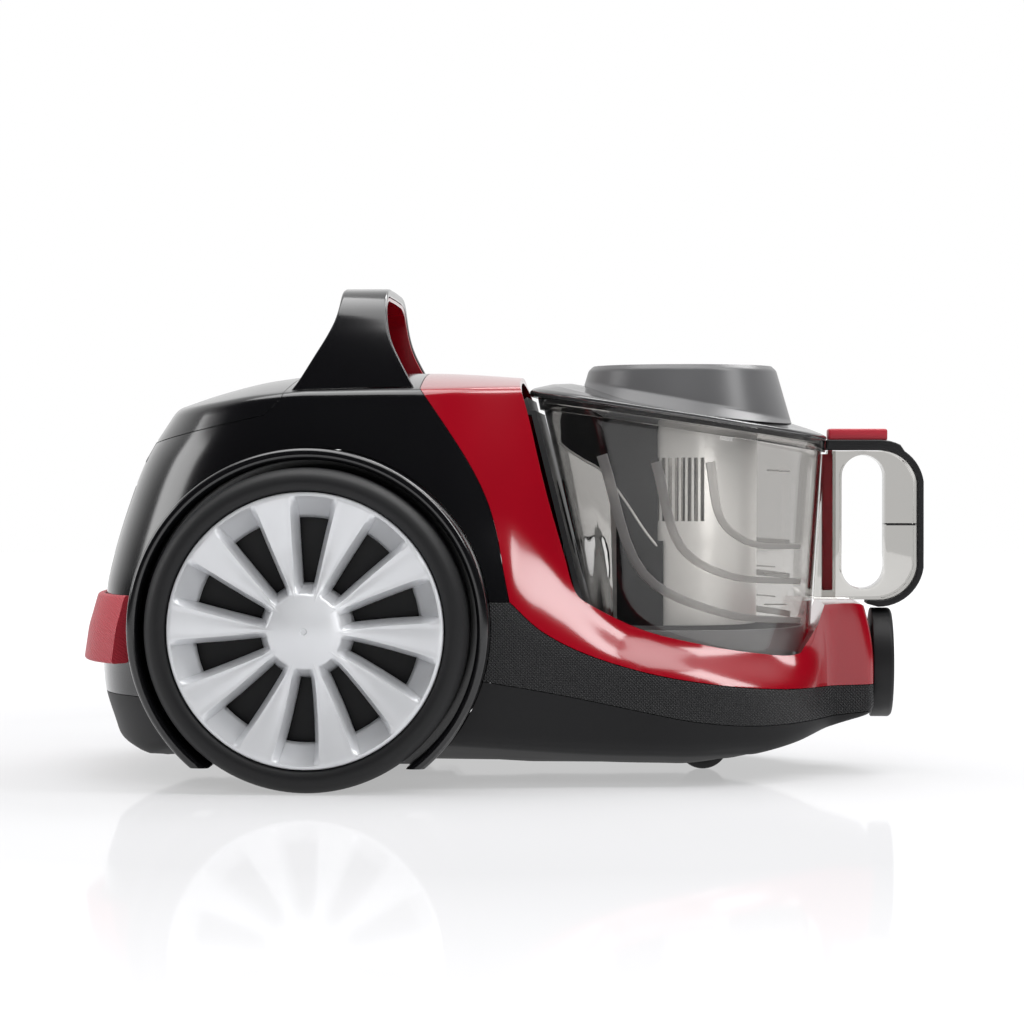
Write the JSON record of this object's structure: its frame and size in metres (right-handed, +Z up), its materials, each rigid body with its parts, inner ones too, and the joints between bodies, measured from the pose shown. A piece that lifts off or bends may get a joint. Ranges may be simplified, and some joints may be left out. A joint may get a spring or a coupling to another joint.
{
  "type": "canister vacuum cleaner",
  "caption": "Bagless canister vacuum cleaner with large spoked drive wheels, a front swivel caster, an arched carrying handle and a lift-out clear dust bin.",
  "frame": {"origin": "on the floor, under the middle of the machine's bounding box", "axes": "+X forwards, towards the hose port; +Y towards the machine's own left side; +Z up"},
  "size_m": [0.4808, 0.31, 0.2757],
  "materials": {
    "gloss_black": "polished black plastic",
    "gloss_red": "polished deep red plastic",
    "satin_black": "moulded black plastic, finely textured on the side band",
    "grip_red": "satin red plastic, finely ribbed on the bumper",
    "silver": "silver-painted plastic, satin",
    "rubber": "soft matte black rubber",
    "smoke": "clear smoke-tinted plastic",
    "cap_grey": "satin dark grey plastic",
    "steel": "plain machined steel",
    "fan_metal": "cast aluminium",
    "filter_white": "pleated filter paper and foam",
    "board_green": "circuit board laminate"
  },
  "bodies": {
    "chassis": {"base_shell": "satin_black", "side_band": "satin_black", "front_housing": "gloss_red", "rear_housing": "gloss_black", "top_cover": "gloss_black", "rear_bumper": "grip_red", "carry_handle": "gloss_black", "handle_liner": "gloss_red", "hose_port": "satin_black", "wheel_arch_left": "gloss_black", "wheel_arch_right": "gloss_black", "wheel_axle_left": "steel", "wheel_axle_right": "steel", "caster_socket": "satin_black", "exhaust_filter": "filter_white", "bin_cradle": "satin_black", "inlet_duct": "satin_black", "motor_housing": "steel", "motor_front_mount": "rubber", "motor_rear_mount": "rubber", "premotor_filter": "filter_white", "reel_axle": "steel", "reel_bracket_left": "satin_black", "reel_bracket_right": "satin_black", "control_board": "board_green", "cord_outlet": "satin_black"},
    "wheel_left": {"tyre_left": "rubber", "hubcap_left": "silver", "wheel_carrier_left": "satin_black"},
    "wheel_right": {"tyre_right": "rubber", "hubcap_right": "silver", "wheel_carrier_right": "satin_black"},
    "caster": {"caster_fork": "satin_black", "caster_pin": "steel"},
    "caster_roller": {"caster_wheel": "rubber"},
    "bin": {"bin_container": "smoke", "bin_floor": "satin_black", "bin_handle": "smoke", "handle_strip": "rubber"},
    "lid": {"bin_lid": "smoke", "lid_seal": "rubber", "filter_cap": "cap_grey", "cyclone_shroud": "silver", "cyclone_cone": "smoke", "vortex_filter": "filter_white"},
    "release": {"release_button": "grip_red", "release_rod": "grip_red"},
    "power_switch": {"power_pedal": "cap_grey"},
    "rewind_switch": {"cord_rewind_pedal": "cap_grey"},
    "exhaust_cover": {"exhaust_door": "satin_black"},
    "fan": {"fan_impeller": "fan_metal", "motor_rotor": "steel"},
    "reel": {"cord_reel": "satin_black"}
  },
  "joints": [
    {"name": "wheel_left_spin", "type": "hinge", "parent": "chassis", "child": "wheel_left", "pos_m": [-0.098, 0.132, 0.08728], "axis": [0, 1, 0], "continuous": true},
    {"name": "wheel_right_spin", "type": "hinge", "parent": "chassis", "child": "wheel_right", "pos_m": [-0.098, -0.132, 0.08728], "axis": [0, 1, 0], "continuous": true},
    {"name": "caster_swivel", "type": "hinge", "parent": "chassis", "child": "caster", "pos_m": [0.124, 0, 0.036], "axis": [0, 0, 1], "continuous": true},
    {"name": "caster_roll", "type": "hinge", "parent": "caster", "child": "caster_roller", "pos_m": [0.117, 0, 0.01491], "axis": [0, 1, 0], "continuous": true},
    {"name": "bin_lift", "type": "slide", "parent": "chassis", "child": "bin", "axis": [0, 0, 1], "range_m": [0, 0.18]},
    {"name": "lid_lift", "type": "slide", "parent": "bin", "child": "lid", "axis": [0, 0, 1], "range_m": [0, 0.13]},
    {"name": "release_press", "type": "slide", "parent": "bin", "child": "release", "axis": [0, 0, -1], "range_m": [0, 0.0035], "stiffness_N_per_m": 800, "springref_m": -0.003},
    {"name": "power_pedal_press", "type": "slide", "parent": "chassis", "child": "power_switch", "axis": [0.866, 0, -0.5], "range_m": [0, 0.003], "stiffness_N_per_m": 1500, "springref_m": -0.002},
    {"name": "rewind_pedal_press", "type": "slide", "parent": "chassis", "child": "rewind_switch", "axis": [0.866, 0, -0.5], "range_m": [0, 0.003], "stiffness_N_per_m": 1500, "springref_m": -0.002},
    {"name": "exhaust_door_hinge", "type": "hinge", "parent": "chassis", "child": "exhaust_cover", "pos_m": [-0.2225, 0, 0.115], "axis": [0, -1, 0], "range_deg": [0, 75]},
    {"name": "fan_spin", "type": "hinge", "parent": "chassis", "child": "fan", "pos_m": [-0.06, -0.015, 0.112], "axis": [1, 0, 0], "continuous": true},
    {"name": "reel_spin", "type": "hinge", "parent": "chassis", "child": "reel", "pos_m": [-0.155, 0, 0.1], "axis": [0, 1, 0], "continuous": true}
  ]
}
